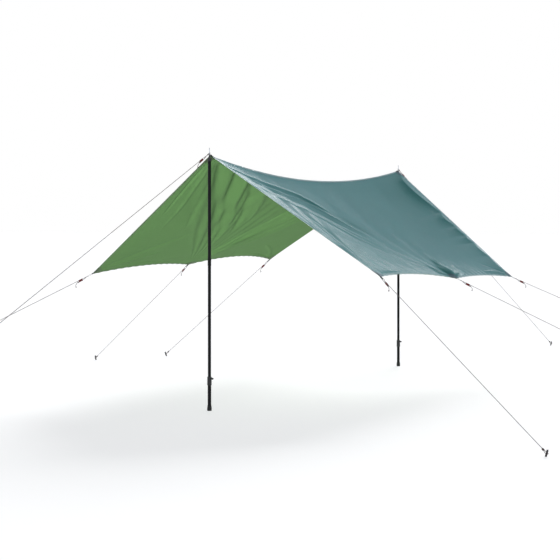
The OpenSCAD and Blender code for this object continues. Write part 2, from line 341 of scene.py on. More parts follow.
CORD = braided("guy_cord", (0.055, 0.016, 0.014), (0.15, 0.085, 0.075))
THREAD = thread("sewing_thread", (0.30, 0.42, 0.38))
DARK_THREAD = thread("strap_thread", (0.10, 0.10, 0.10))
GROMMET = metal("grommet_metal", (0.55, 0.55, 0.56), (0.75, 0.74, 0.72), 0.32)
SPIKE = metal("spike_metal", (0.50, 0.51, 0.53), (0.72, 0.72, 0.72), 0.30, along=(1, 1, 0.03))
TUBE = metal("pole_tube", (0.006, 0.006, 0.007), (0.05, 0.05, 0.05), 0.42, 0.0, (1, 1, 0.03), 0.78, 1.22)
PLASTIC = moulded("moulded_black", (0.014, 0.014, 0.015), 0.50, 900.0, 0.00012)
KNOB = moulded("knob_black", (0.022, 0.022, 0.022), 0.42, 700.0, 0.0001)
RUBBER = moulded("foot_rubber", (0.012, 0.012, 0.012), 0.78, 420.0, 0.0002)
SLIDER = metal("slider_alloy", (0.13, 0.014, 0.012), (0.45, 0.32, 0.30), 0.38, 0.7)
STAKE = metal("stake_alloy", (0.045, 0.045, 0.050), (0.35, 0.35, 0.35), 0.38, 0.8, (1, 1, 0.05), 0.66)


# ---- the canopy's outline

PEAK_H = 2.0
RIDGE_HALF = 1.99
RIDGE_SAG = 0.15
PANEL_SAG = 0.02
CORNER_X = 1.310
SIDE_X = 1.335
CORNER_Y = 1.670
# Heights of the tie-outs from front to rear, and how far the edges between them curve in, on each side.
TIE_H = ((1.040, 1.075, 1.085), (1.060, 0.990, 0.945))
EDGE_CURVE = ((0.060, 0.095), (0.050, 0.035))
SLOPE = 1.63  # length of a panel from the ridge to its side edge


def half_length(w):
    """Half the canopy's length, at the ridge (0) to a side edge (1)."""
    return RIDGE_HALF + w * (CORNER_Y - RIDGE_HALF)


def tie_point(side, place):
    """A tie-out: side is 0 for left and 1 for right, and place is 0 to 2 from front to rear."""
    x = SIDE_X if place == 1 else CORNER_X
    return np.array(((2 * side - 1) * x, (place - 1) * CORNER_Y, TIE_H[side][place]))


# ---- camera and cords

CAMERA_AT = (5.6276, -12.1865, 1.4830)
CAMERA_TURN = math.radians(26.197)  # to the left of looking along the ridge
CAMERA_LENS = 95.4  # for a sensor 36 wide
CAMERA_SHIFT = -0.1046


def add_camera():
    """The photograph's view, from eye height."""
    data = bpy.data.cameras.new("camera")
    camera = bpy.data.objects.new("camera", data)
    camera.location = CAMERA_AT
    camera.rotation_euler = (math.radians(90), 0, CAMERA_TURN)
    data.lens = CAMERA_LENS
    data.sensor_width = 36
    data.shift_y = CAMERA_SHIFT
    data.clip_end = 200
    bpy.context.scene.collection.objects.link(camera)
    bpy.context.scene.camera = camera


CORD_R = 0.002
HOOK_H = 0.022  # height of the stakes' notches
POLE_Y = 2.0
SPIKE_LOOP_H = 2.017
# A slider's ends, along the line from its tie-out, and how far below the line its second hole is.
SLIDER_START = 0.092
SLIDER_END = 0.126
SLIDER_DROP = 0.010
# Each line's name, the side and place of its tie-out, and where its stake holds it.
SIDE_LINES = [
    ("front_left", 0, 0, (-3.00, -2.80)),
    ("mid_left", 0, 1, (-3.16, 1.20)),
    ("rear_left", 0, 2, (-2.72, 1.93)),
    ("rear_right", 1, 2, (2.99, 3.16)),
    ("mid_right", 1, 1, (3.05, 1.00)),
    ("front_right", 1, 0, (3.01, -3.06)),
]
POLE_LINES = [("front_pole", -1, (-0.80, -5.33)), ("rear_pole", 1, (0.70, 5.18))]


class Line:
    """A guy line's own frame: x along it from the tie-out to the stake, y to its left, z up across it. A
    pole's line has no side and no place."""

    def __init__(self, name, top, stake, side=None, place=None):
        self.name = name
        self.side = side
        self.place = place
        self.at_pole = side is None
        self.top = np.array(top)
        self.hook = np.array((*stake, HOOK_H))
        self.length = float(np.linalg.norm(self.hook - self.top))
        self.pull = unit(self.hook - self.top)
        self.left = unit(np.cross((0, 0, 1), self.pull))
        self.up = np.cross(self.pull, self.left)
        self.dip = math.asin(-self.pull[2])

    def at(self, x, y=0.0, z=0.0):
        return self.top + x * self.pull + y * self.left + z * self.up

    def path(self, points):
        return np.array([self.at(*p) for p in points])


LINES = [Line(name, tie_point(side, place), stake, side, place) for name, side, place, stake in SIDE_LINES]
LINES += [Line(name, (0.0, end * POLE_Y, SPIKE_LOOP_H), stake) for name, end, stake in POLE_LINES]
EYE_X = 0.0450  # where the turn of cord in a webbing loop is widest
EYE_DEEP = 0.0082
EYE_WIDE = 0.0090
SPIKE_DEEP = 0.0066
SPIKE_WIDE = 0.0063


def turn_at_top(line, side):
    """Half of the turn that the cord makes through its webbing loop or round its spike."""
    start, deep, wide = (0.0, SPIKE_DEEP, SPIKE_WIDE) if line.at_pole else (EYE_X, EYE_DEEP, EYE_WIDE)
    points = []
    for a in np.linspace(0, math.pi / 2, 8):
        points.append((start - deep * math.cos(a), side * wide * math.sin(a), 0.0))
    for f in (0.2, 0.4, 0.6, 0.8, 1.0):
        x = start + f * (SLIDER_START - 0.006 - start)
        drop = 0.0 if side > 0 else -SLIDER_DROP * smooth_step(f)
        points.append((x, side * wide * (1 - smooth_step(f)), drop))
    return points


KNOT_BACK = 0.046  # distance from a stake to the knot of the loop round it
# Radius and number of turns of the knot at a stake, and of the stop knot behind a slider.
KNOT = (0.0056, 3.4)
STOP = (0.0038, 2.5)
# One side of the loop round a stake: distance past the stake and half the loop's width.
STAKE_LOOP = [(-0.060, 0.0010), (-0.046, 0.0024), (-0.034, 0.0036), (-0.020, 0.0068), (-0.008, 0.0092),
              (0.0010, 0.0092), (0.0062, 0.0062), (0.0079, 0.0)]


def loop_round_stake(line):
    """The end of a guy line: out along one side of its stake, through the notch and back to the knot."""
    out = [(line.length + x, y, 0.0) for x, y in STAKE_LOOP]
    back = [(line.length + x, -y, 0.0) for x, y in STAKE_LOOP[-2:0:-1]]
    return out + back


def tucked(k, steps, share, ends):
    """How far out a knot's turn lies at its step k: full, but less at both ends, where the cord tucks in."""
    return 1 - share * (smooth_step(1 - k / ends) + smooth_step(1 - (steps - k) / ends))


def wrapped_knot(name, line, centre, radius, turns):
    """Turns of cord wound tightly round the strands of a line, with both ends tucked in."""
    steps = int(turns * 14)
    pitch = 2.1 * CORD_R
    points = []
    for k in range(steps + 1):
        a = 2 * math.pi * turns * k / steps
        x = centre[0] + pitch * (a / (2 * math.pi) - turns / 2)
        r = radius * tucked(k, steps, 0.45, 6)
        points.append(line.at(x, centre[1] + r * math.cos(a), centre[2] + r * math.sin(a)))
    return tube(name, points, CORD_R, CORD, 8)


def add_guy(line):
    """A guy line from tie-out to stake, with its knots, the strand back to its slider and the tail."""
    body, slider, stake = "shelter", f"{line.name}_slider", f"{line.name}_stake"
    route = turn_at_top(line, 1)
    for f in np.linspace(0, 1, 16)[1:-1]:
        route.append((SLIDER_START + f * (line.length - 0.075 - SLIDER_START), 0.0, 0.0))
    path = line.path(route + loop_round_stake(line))
    path = np.concatenate([path[:len(route)], curve_through(path[len(route):], 3)])
    main = tube(f"guy_line_{line.name}", path, CORD_R, CORD)
    line.at(line.length - 0.9)
    line.at(line.length - 0.12)
    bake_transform(main)

    strand = turn_at_top(line, -1) + [(SLIDER_START, 0, -SLIDER_DROP), (SLIDER_END + 0.002, 0, -SLIDER_DROP)]
    back = tube(f"guy_return_{line.name}", line.path(strand), CORD_R, CORD)
    line.at(0.046)
    line.at(SLIDER_START - 0.004)
    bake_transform(back)

    knot = wrapped_knot(f"guy_knot_{line.name}", line, (line.length - KNOT_BACK, 0, 0), *KNOT)
    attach(knot, stake)
    stop = wrapped_knot(f"guy_stop_{line.name}", line, (SLIDER_END + 0.0080, 0, -SLIDER_DROP), *STOP)
    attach(stop, slider)
    tail, end_knot = add_tail(line)
    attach(tail, slider)
    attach(end_knot, slider)

    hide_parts(f"guy_{line.name}")


def add_tail(line):
    """The spare end of a guy line: out of the stop knot, bending down to hang, with a knot near its end."""
    start = np.array((SLIDER_END + 0.002, 0.0, -SLIDER_DROP))
    down = np.array((math.sin(line.dip), 0.0, -math.cos(line.dip)))
    drift = 0.5 * rng.uniform(-1, 1)
    hang = 0.024 + 0.008 * rng.uniform()
    points = [start, start + (0.012, 0, 0), start + (0.018, 0.001 * drift, -0.0015)]
    points.append(points[-1] + 0.006 * unit(np.array((0.75, 0, 0)) + 0.6 * down))
    for f in (0.2, 0.4, 0.6, 0.8, 1.0):
        sway = np.array((0.006 * math.sin(3.2 * f), 0.012 * drift * math.sin(2.2 * f), 0.0))
        points.append(points[3] + f * hang * down + sway + (0.003, 0, 0))
    path = line.path(curve_through(points, 4))
    tail = tube(f"guy_tail_{line.name}", path, CORD_R, CORD)
    return tail, knot_round(f"guy_tail_knot_{line.name}", path, len(path) - 4)


def knot_round(name, path, index):
    """An overhand knot drawn tight round a hanging cord."""
    along, across, other = (f[index] for f in frames_along(path))
    points = []
    turns, steps = 1.6, 24
    for k in range(steps + 1):
        a = 2 * math.pi * turns * k / steps
        r = 0.0037 * tucked(k, steps, 0.5, 5)
        step = 0.0042 * (k / steps - 0.5)
        points.append(path[index] + step * along + r * (math.cos(a) * across + math.sin(a) * other))
    return tube(name, points, CORD_R, CORD, 8)


add_camera()
for guy in LINES:
    add_guy(guy)


# ---- the canopy's surface

def flat_surface(u, v):
    """The canopy before its folds. u runs from the left edge (-1) over the ridge (0) to the right edge (1),
    and v from the front (-1) to the rear (1)."""
    u, v = np.broadcast_arrays(np.asarray(u, float), np.asarray(v, float))
    w = np.abs(u)[..., None]
    ridge = np.stack([np.zeros_like(v), v * RIDGE_HALF, PEAK_H - RIDGE_SAG * (1 - v * v)], -1)
    edge = np.zeros_like(ridge)
    for side in (0, 1):
        inward = np.array(((1 - 2 * side) * 0.8, 0, 0.6))
        for half in (0, 1):
            here = ((u >= 0) == (side == 1)) & ((v >= 0) == (half == 1))
            f = np.where(v < 0, v + 1, v)[..., None]
            a, b = tie_point(side, half), tie_point(side, half + 1)
            curve = a + (b - a) * f + inward * EDGE_CURVE[side][half] * 4 * f * (1 - f)
            edge = np.where(here[..., None], curve, edge)
    sag = PANEL_SAG * 4 * w[..., 0] * (1 - w[..., 0]) * (1 - v * v)
    point = ridge * (1 - w) + edge * w
    point[..., 2] -= sag
    return point


@functools.lru_cache(None)
def crease_line(route):
    """The smooth line through a fold's points, kept because several pieces need it again."""
    return curve_through([(*p, 0) for p in route], 32)[:, :2]


def crease(s, t, route, width, height):
    """A fold along a smooth route of (s, t) points in metres, narrow at both ends."""
    line = crease_line(tuple(route))
    low, high = line.min(0) - 2.6 * width, line.max(0) + 2.6 * width
    near = (s > low[0]) & (s < high[0]) & (t > low[1]) & (t < high[1])
    out = np.zeros_like(s)
    if near.any():
        gap = np.hypot(s[near][:, None] - line[:, 0], t[near][:, None] - line[:, 1])
        swell = arch(np.clip(gap.argmin(-1) / (len(line) - 1), 0.02, 0.98)) ** 0.6
        reach = gap.min(-1) / (width * (0.35 + 0.65 * swell))
        out[near] = height * swell * np.exp(-reach ** 2)
    return out


def fan(s, t, apex, low, high, count, near, far, height, phase=0.0):
    """Folds that spread from a tie-out between two angles, in degrees, and fade at both ends."""
    away_s, away_t = apex[0] - s, t - apex[1]
    r = np.hypot(away_s, away_t)
    angle = np.degrees(np.arctan2(away_t, away_s))
    f = (angle - low) / (high - low)
    window = smooth_step(np.minimum(f, 1 - f) * 5)
    wander = 0.35 * np.sin(2.1 * r + phase)
    wave = np.sin(2 * math.pi * (count * f + wander + phase))
    reach = smooth_step((r - 0.03) / near) * smooth_step((far - r) / (0.45 * far))
    return height * window * reach * wave


def ripples(s, t, seed, low, high, height, count=14):
    """Small irregular waves, with wavelengths between low and high."""
    source = np.random.default_rng(seed)
    total = np.zeros_like(s)
    for _ in range(count):
        wavelength = source.uniform(low, high)
        angle = source.uniform(0, math.pi)
        k = 2 * math.pi / wavelength
        total += np.sin(k * (s * math.cos(angle) + t * math.sin(angle)) + source.uniform(0, 6.28))
    return height * total / math.sqrt(count)


# The folds that stand out in each panel: height, width, and a route. Its points are distances down the slope
# from the ridge and towards the rear.
LEFT_CREASES = [
    (0.0290, 0.060, [(-0.10, -1.88), (0.10, -1.66), (0.40, -1.29), (0.79, -0.76), (1.10, -0.45)]),
    (0.0240, 0.050, [(-0.12, -1.60), (0.12, -1.36), (0.44, -1.04), (0.80, -0.60), (1.10, -0.36)]),
    (-0.0170, 0.042, [(-0.10, -1.42), (0.12, -1.20), (0.50, -0.87), (0.77, -0.55), (1.00, -0.38)]),
    (0.0200, 0.044, [(-0.10, -1.24), (0.10, -1.04), (0.38, -0.76), (0.66, -0.46), (0.90, -0.28)]),
    (-0.0150, 0.050, [(-0.10, -1.04), (0.10, -0.84), (0.40, -0.52), (0.70, -0.26)]),
    (0.0180, 0.034, [(0.20, 0.40), (0.56, 0.27), (0.92, 0.12), (1.40, -0.04)]),
    (-0.0155, 0.046, [(0.26, 0.52), (0.68, 0.41), (1.00, 0.24), (1.45, 0.02)]),
    (0.0150, 0.034, [(0.30, 0.76), (0.68, 0.56), (1.19, 0.19), (1.50, 0.05)]),
    (-0.0100, 0.040, [(0.50, 0.88), (0.84, 0.64), (1.25, 0.28)]),
    (0.0080, 0.040, [(0.60, 1.02), (0.95, 0.74), (1.35, 0.30)]),
    (0.0070, 0.016, [(0.04, -1.93), (0.23, -1.87), (0.45, -1.80), (0.75, -1.70)]),
    (-0.0060, 0.022, [(0.05, -1.88), (0.25, -1.78), (0.62, -1.60), (0.95, -1.48)]),
    (0.0070, 0.032, [(0.06, -1.80), (0.30, -1.60), (0.60, -1.38), (0.90, -1.15)]),
    (0.0065, 0.036, [(1.56, -1.62), (1.40, -1.40), (1.20, -1.15), (0.95, -0.90)]),
    (-0.0055, 0.026, [(1.57, -1.55), (1.45, -1.25), (1.34, -0.95)]),
    (0.0045, 0.020, [(1.58, -1.45), (1.54, -1.05), (1.56, -0.55)]),
    (0.0060, 0.014, [(1.62, 1.62), (1.58, 1.35), (1.55, 0.95)]),
    (-0.0055, 0.022, [(1.60, 1.60), (1.48, 1.35), (1.36, 1.05)]),
    (0.0065, 0.035, [(0.05, 1.90), (0.45, 1.55), (0.95, 1.20)]),
]
RIGHT_CREASES = [
    (0.0085, 0.026, [(0.09, -1.93), (0.18, -1.23), (0.28, -0.78), (0.57, -0.50), (0.80, -0.36)]),
    (-0.0075, 0.034, [(0.11, -1.90), (0.24, -1.20), (0.37, -0.74), (0.63, -0.44), (0.90, -0.30)]),
    (0.0080, 0.028, [(0.16, -1.73), (0.35, -0.92), (0.61, -0.61), (0.95, -0.38)]),
    (-0.0045, 0.032, [(0.18, -1.70), (0.44, -0.98), (0.72, -0.68), (1.05, -0.42)]),
    (0.0045, 0.030, [(0.25, -1.70), (0.56, -1.02), (0.88, -0.76), (1.20, -0.50)]),
    (-0.0050, 0.030, [(0.60, -1.24), (0.92, -1.25), (1.39, -1.57)]),
    (0.0100, 0.020, [(1.60, 1.62), (1.57, 1.40), (1.56, 1.05)]),
    (-0.0050, 0.018, [(1.58, 1.60), (1.50, 1.42), (1.42, 1.22)]),
    (-0.0060, 0.016, [(1.60, -1.60), (1.585, -1.40), (1.58, -1.05)]),
]
# Folds along the front hem of the right panel: distance from the hem and height.
HEM_CREASES = ((0.045, 0.00312), (0.085, -0.0026), (0.125, 0.00286), (0.17, -0.00208), (0.23, 0.00208))
# Short folds from the right panel's middle tie-out: direction in degrees, length and height.
STROKES = ((30, 0.42, 0.01200), (38, 0.46, 0.01536), (46, 0.40, 0.01632), (55, 0.36, 0.01536),
           (66, 0.52, 0.01296), (74, 0.46, 0.01536), (81, 0.38, 0.01344), (20, 0.28, 0.01104),
           (-30, 0.30, 0.00864), (-48, 0.24, 0.00816))


def creased(s, t, folds):
    """The height of several folds together."""
    return sum(crease(s, t, route, width, height) for height, width, route in folds)


def left_folds(s, t):
    """Folds of the left panel: a wide fan from its middle tie-out to the ridge, and folds by its corners."""
    middle = (SLOPE, 0.0)
    h = creased(s, t, LEFT_CREASES)
    h += fan(s, t, middle, -58, -24, 5.0, 0.9, 2.9, 0.0050, 0.1)
    h += fan(s, t, middle, -20, 8, 3.0, 0.9, 2.4, 0.0025, 0.4)
    return h + fan(s, t, middle, 6, 40, 3.0, 0.5, 2.4, 0.0030, 0.2)


def right_folds(s, t):
    """Folds of the right panel: long ones from the front peak to the middle tie-out, sharp at both."""
    middle = (SLOPE, 0.0)
    h = creased(s, t, RIGHT_CREASES)
    for gap, height in HEM_CREASES:
        route = [(f * SLOPE, gap * (0.4 + 0.6 * math.sin(3.0 * f)) - RIDGE_HALF + 0.32 * f)
                 for f in (0.06, 0.25, 0.45, 0.65, 0.85)]
        h += crease(s, t, route, 0.018 + 0.05 * gap, height)
    for angle, reach, height in STROKES:
        a = math.radians(angle)
        route = [(SLOPE - r * math.cos(a), r * math.sin(a)) for r in (0.06, 0.5 * reach, reach)]
        h += crease(s, t, route, 0.027, height)
    h += fan(s, t, (SLOPE, -CORNER_Y), -12, 40, 5.0, 0.5, 1.9, 0.0030, 0.2)
    return h + fan(s, t, middle, -70, 70, 6.0, 0.8, 2.2, 0.0015, 0.6)


LOBES = (0.0, 0.405, 0.535, 0.62, 0.69, 0.815, 1.0)  # where the slack gathers of the rear right edge begin
# How far from the rear hem each swell between two gathers has its crest.
LOBE_REACH = (0.19, 0.15, 0.12, 0.12, 0.11, 0.07)


CREST_NEAR = 0.012  # distance from the rear hem to the crest where two swells meet
SWELL_RISE = 0.15  # height of the crest for its distance from the hem
SWELL_FADE = 0.16


def rear_gathers(w, to_end):
    """The cloth is slack by the rear edge of the right panel: it swells between the gathers, rises slowly
    to a crisp crest, and falls from the crest to the hem."""
    lobes = list(zip(LOBES[:-1], LOBES[1:]))
    reach = np.interp(w, np.mean(lobes, axis=1), LOBE_REACH) * smooth_step(10 * w) * smooth_step(10 * (1 - w))
    swell = np.max([arch((w - low) / (high - low)) ** 0.7 for low, high in lobes], axis=0)
    crest = CREST_NEAR + reach * (0.22 + 0.78 * swell)
    fade = np.exp(-(to_end - crest) / SWELL_FADE)
    return SWELL_RISE * crest * np.where(to_end < crest, to_end / crest, fade)


LEFT_DEPTH = 1.5  # the left panel's folds are this many times as deep as their heights say
HEM_SHARE = 0.12  # how much of the folds is left at the hems, which hold the cloth flat


def relief(side, w, v):
    """Height of the folds of one panel above the plain surface."""
    s, t = w * SLOPE, v * half_length(w)
    to_end, to_side = (1 - np.abs(v)) * half_length(w), (1 - w) * SLOPE
    h = LEFT_DEPTH * left_folds(s, t) if side == 0 else right_folds(s, t)
    h += ripples(s, t, 11 + side, 0.35, 0.9, 0.0013)
    h += ripples(s, t, 21 + side, 0.12, 0.28, 0.0003)
    inside = smooth_step(s / 0.10) * smooth_step(to_end / 0.05) * smooth_step(to_side / 0.05)
    h *= HEM_SHARE + (1 - HEM_SHARE) * inside
    if side == 1:
        slack = 0.012 + 0.046 * smooth_step(0.5 - 0.5 * v)
        h -= slack * (1 - np.exp(-to_end / 0.34)) * arch(w) ** 0.55
        h += np.where(v > 0, rear_gathers(w, to_end), 0)
    else:
        h -= 0.016 * (1 - np.exp(-to_end / 0.20)) * arch(w) ** 0.7
    hem_wave = 0.0016 * np.sin(v * 95 + 3 * side) * np.exp(-to_side / 0.06)
    hem_wave += 0.0012 * np.sin(w * 78 + 2 * side) * np.exp(-to_end / 0.05) * arch(w)
    at_ties = smooth_step(np.abs(v) / 0.06) * smooth_step((1 - np.abs(v)) / 0.06)
    return h + hem_wave * at_ties


def folded(side, u, v):
    """Points on the canopy with its folds. side holds -1 or 1 for the panel that each point belongs to."""
    step = 1e-4
    base = flat_surface(u, v)
    du = flat_surface(u + side * step, v) - base
    dv = flat_surface(u, v + step) - flat_surface(u, v - step)
    normal = unit(np.cross(du * side[..., None], dv))
    tall = np.empty(u.shape)
    for number, mask in enumerate((side < 0, side > 0)):
        tall[mask] = relief(number, np.abs(u[mask]), v[mask])
    return base + tall[..., None] * normal


def canopy(u, v, lift=0.0):
    """Points on the canopy and their normals. lift moves them along the normals, away from the ground."""
    u, v = np.broadcast_arrays(np.asarray(u, float), np.asarray(v, float))
    side = np.where(u < 0, -1.0, 1.0)
    step = 1e-4
    here = folded(side, u, v)
    across = (folded(side, u + side * step, v) - here) * side[..., None]
    along = folded(side, u, v + step) - here
    normal = unit(np.cross(across, along))
    return here + lift * normal, normal


# ---- cloth and sewing

CLOTH_LOW, CLOTH_HIGH = 0.00025, 0.00075  # the two faces' heights above the surface
BESIDE_RIDGE = [0.0025, 0.008]  # the grid's first lines beside the ridge, where it bends most


def add_canopy():
    """The two panels as one sheet of cloth, with a teal face above and a green one below."""
    half = np.linspace(0.016, 1, 160)
    half -= 0.45 * np.sin(2 * np.pi * half) / (2 * np.pi) * smooth_step(3 * half)
    half = np.concatenate([BESIDE_RIDGE, half])
    u = np.concatenate([-half[::-1], [0.0], half])
    v = np.linspace(-1, 1, 401)
    v -= 0.55 * np.sin(2 * np.pi * v) / (2 * np.pi)
    uu, vv = np.meshgrid(u, v)
    centre = len(half)
    low = folded(np.where(uu < 0, -1.0, 1.0), uu, vv)
    low[:, centre] = flat_surface(0 * v, v)
    sides = []
    for part in (low[:, :centre + 1], low[:, centre:]):
        sides.append(unit(np.cross(np.gradient(part, axis=1), np.gradient(part, axis=0))))
    ridge = unit(sides[0][:, -1:] + sides[1][:, :1])
    normal = np.concatenate([sides[0][:, :-1], ridge, sides[1][:, 1:]], 1)
    rows, columns = uu.shape
    points = np.concatenate([(low + lift * normal).reshape(-1, 3) for lift in (CLOTH_HIGH, CLOTH_LOW)])
    n = rows * columns
    faces = grid_faces(rows, columns) + grid_faces(rows, columns, n, flip=True)
    slots = [0] * (len(faces) // 2) + [1] * (len(faces) // 2)
    rim = grid_rim(rows, columns)
    for a, b in zip(rim, rim[1:] + rim[:1]):
        faces.append((b, a, a + n, b + n))
        slots.append(0)
    uv = np.stack([uu * SLOPE, vv * RIDGE_HALF], -1).reshape(-1, 2)
    piece = add_mesh("canopy_cloth", points, faces, [OUTER, INNER], slots, np.concatenate([uv, uv]))
    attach(piece, "shelter")
    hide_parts("panel_left", "panel_right")
    return piece


def add_strip(name, route, profile, materials, top_slots):
    """A strip sewn along a route on the canopy. profile is a closed outline of (inwards, lift) points, and
    route(inwards) gives the u and v of the strip's points at that distance from the edge."""
    rings, uvs = [], []
    for inwards, lift in profile:
        points, _ = canopy(*route(inwards), lift)
        rings.append(points)
        uvs.append(np.stack([run_along(points), np.full(len(points), inwards)], -1))
    points = np.stack(rings, 1)
    rows, count = points.shape[:2]
    faces = swept_faces(rows, count)
    slots = [0 if (k % count) in top_slots else 1 for k in range(len(faces) - 2)] + [0, 0]
    ring, following = points[rows // 2], points[rows // 2 + 1]
    outwards = np.cross(ring[1] - ring[0], following[0] - ring[0])
    if np.dot(outwards, ring[0] - ring.mean(0)) < 0:
        faces = [f[::-1] for f in faces]
    return add_mesh(name, points.reshape(-1, 3), faces, materials, slots, np.stack(uvs, 1).reshape(-1, 2))


HEM_W = 0.018
# Outlines of the strips across their length: distance in from the cloth's edge, and height.
HEM_PROFILE = [(HEM_W, 0.00080), (HEM_W - 0.0006, 0.00125), (0.010, 0.00140), (0.002, 0.00130),
               (-0.0006, 0.0008), (-0.0006, 0.0), (0.002, -0.0005), (0.010, -0.0006),
               (HEM_W - 0.0006, -0.00045), (HEM_W, 0.0002)]
HEM_TOP = range(4)  # the faces of the outline that are on top


def side_route(side):
    """A route for a strip along a side edge."""
    v = np.linspace(-1, 1, 421)

    def route(inwards):
        return np.full(len(v), (2 * side - 1) * (1 - inwards / SLOPE)), v
    return route


def end_route(side, end):
    """A route for a strip along a panel's front edge (0) or rear edge (1)."""
    w = np.linspace(0.003, 1, 181)

    def route(inwards):
        return (2 * side - 1) * w, (2 * end - 1) * (1 - inwards / half_length(w))
    return route


def ridge_route(inwards):
    """The route of the ridge seam."""
    v = np.linspace(-1, 1, 421)
    return np.full(len(v), inwards / SLOPE), v


def add_hems():
    """A folded hem along each side edge and each end of each panel."""
    made = []
    for side, hand in enumerate(("left", "right")):
        made.append(add_strip(f"hem_side_{hand}", side_route(side), HEM_PROFILE,
                              [HEM_OUTER, HEM_INNER], HEM_TOP))
        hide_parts(f"side_hem_{hand}")
        for end, place in enumerate(("front", "rear")):
            made.append(add_strip(f"hem_{place}_{hand}", end_route(side, end), HEM_PROFILE,
                                  [HEM_OUTER, HEM_INNER], HEM_TOP))
            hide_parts(f"{place}_hem_{hand}")
    for piece in made:
        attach(piece, "shelter")
    return made


TAPE_PROFILE = [(-0.014, 0.0007), (-0.0135, 0.00155), (-0.0095, 0.0017), (-0.0005, 0.0019), (0.0005, 0.0019),
                (0.0095, 0.0017), (0.0135, 0.00155), (0.014, 0.0007), (0.0138, -0.0001), (0.0095, -0.0006),
                (0.0005, -0.0006), (-0.0005, -0.0006), (-0.0095, -0.0006), (-0.0138, -0.0001)]
TAPE_TOP = range(7)


def add_ridge_seam():
    """The felled and taped seam along the ridge."""
    piece = add_strip("ridge_seam", ridge_route, TAPE_PROFILE, [HEM_OUTER, HEM_INNER], TAPE_TOP)
    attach(piece, "shelter")
    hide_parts("ridge_tape")
    return piece


PATCH_SIZE = 0.09


def patch_grid(u0, v0, u_of, v_of, angles):
    """The u and v of a rounded patch round (u0, v0): rings out from it at each angle."""
    radii = np.linspace(0.04, 1, 12) * PATCH_SIZE
    r, a = np.meshgrid(radii, angles, indexing="ij")
    return u0 + u_of(a) * r / SLOPE, v0 + v_of(a) * r / RIDGE_HALF


# A patch's lower and upper height above the surface, on the canopy's outer and inner face.
PATCH_LAYERS = ((0.0009, 0.00175), (-0.00095, -0.0005))


def add_patches():
    """Rounded reinforcement at the tie-outs and the peaks, on both faces of the cloth."""
    quarter = np.linspace(0, math.pi / 2, 22)
    grids = []
    for s in (-1, 1):
        for e in (-1, 1):
            grids.append(patch_grid(s, e, lambda a: -s * np.cos(a), lambda a: -e * np.sin(a) * 1.19, quarter))
        round_edge = np.linspace(-math.pi / 2, math.pi / 2, 40)
        grids.append(patch_grid(s, 0, lambda a: -s * np.cos(a), np.sin, round_edge))
    for e in (-1, 1):
        round_end = np.linspace(-math.pi / 2, math.pi / 2, 41)
        grids.append(patch_grid(0, e, np.sin, lambda a: -e * np.cos(a), round_end))
    points, faces, slots, uvs = [], [], [], []
    for u, v in grids:
        u, v = np.clip(u, -1, 1), np.clip(v, -1, 1)
        rows, columns = u.shape
        n = rows * columns
        rim = grid_rim(rows, columns)
        for slot, (low, high) in enumerate(PATCH_LAYERS):
            start = len(points)
            for lift in (high, low):
                points.extend(canopy(u, v, lift)[0].reshape(-1, 3))
                uvs.extend(np.stack([u * SLOPE, v * RIDGE_HALF], -1).reshape(-1, 2))
            a, b, c = (np.array(points[start + k]) for k in grid_faces(rows, columns)[40][:3])
            flip = np.cross(b - a, c - a)[2] < 0
            sides = [(start + p, start + q, start + q + n, start + p + n)
                     for p, q in zip(rim, rim[1:] + rim[:1])]
            more = grid_faces(rows, columns, start, flip) + grid_faces(rows, columns, start + n, not flip)
            more += sides if flip else [f[::-1] for f in sides]
            faces += more
            slots += [slot] * len(more)
    piece = add_mesh("reinforcement_patches", points, faces, [PATCH_OUTER, PATCH_INNER], slots, uvs)
    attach(piece, "shelter")
    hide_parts("tie_out_patches")
    return piece


def stitch_row(points, normals, pitch=0.0046, length=0.0032, half=0.00038, tall=0.00045):
    """Stitches along a path on the cloth, each a low closed ridge of thread."""
    run = run_along(points)
    starts = np.arange(pitch / 2, run[-1] - length, pitch)

    def at(distance, values):
        return np.stack([np.interp(distance, run, values[:, k]) for k in range(3)], -1)

    a, b = at(starts, points), at(starts + length, points)
    up = unit(at(starts, normals))
    side = half * np.cross(unit(b - a), up)
    sunk = 0.00012 * up
    inner_a = a + 0.25 * (b - a) + tall * up
    inner_b = a + 0.75 * (b - a) + tall * up
    corners = np.stack([a - side - sunk, a + side - sunk, b + side - sunk, b - side - sunk,
                        inner_a, inner_b], 1)
    pattern = ((0, 1, 4), (2, 3, 5), (1, 2, 5, 4), (3, 0, 4, 5), (3, 2, 1, 0))
    faces = [tuple(6 * k + i for i in f) for k in range(len(starts)) for f in pattern]
    return corners.reshape(-1, 3), faces


def add_stitching():
    """Rows of stitches along the hems and the ridge seam, on both faces."""
    routes = [side_route(0), side_route(1)] + [end_route(s, e) for s in (0, 1) for e in (0, 1)]
    seams = [(route, 0.0150, 0.00138, -0.00055) for route in routes]
    seams += [(ridge_route, offset, 0.0017, -0.0006) for offset in (-0.0095, 0.0095)]
    points, faces = [], []
    for route, inwards, above, below in seams:
        for lift, sign in ((above, 1), (below, -1)):
            here, normal = canopy(*route(inwards), lift)
            gather(points, faces, *stitch_row(here, sign * normal))
    piece = add_mesh("stitching", points, faces, [THREAD], smooth=False)
    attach(piece, "shelter")
    return piece


# ---- tie-out straps

STRAP_HALF = 0.006
STRAP_T = 0.0012
STRAP_TIP = 0.0394  # where the middle of the strap's fold lies, along the line
STRAP_INSIDE = 0.062  # length sewn to the canopy on each face
STRAP_FOLD = 0.0028  # radius of the turn at the strap's tip
# The part between the cloth and the tip: distances from the tie-out, and half widths, which get narrower.
STRAP_OUT = (0.010, 0.018, 0.026, 0.033)
STRAP_NARROW = (0.0058, 0.0054, 0.0048, 0.0045)
STRAP_SEWN = 0.0045  # half the width of the box of stitches


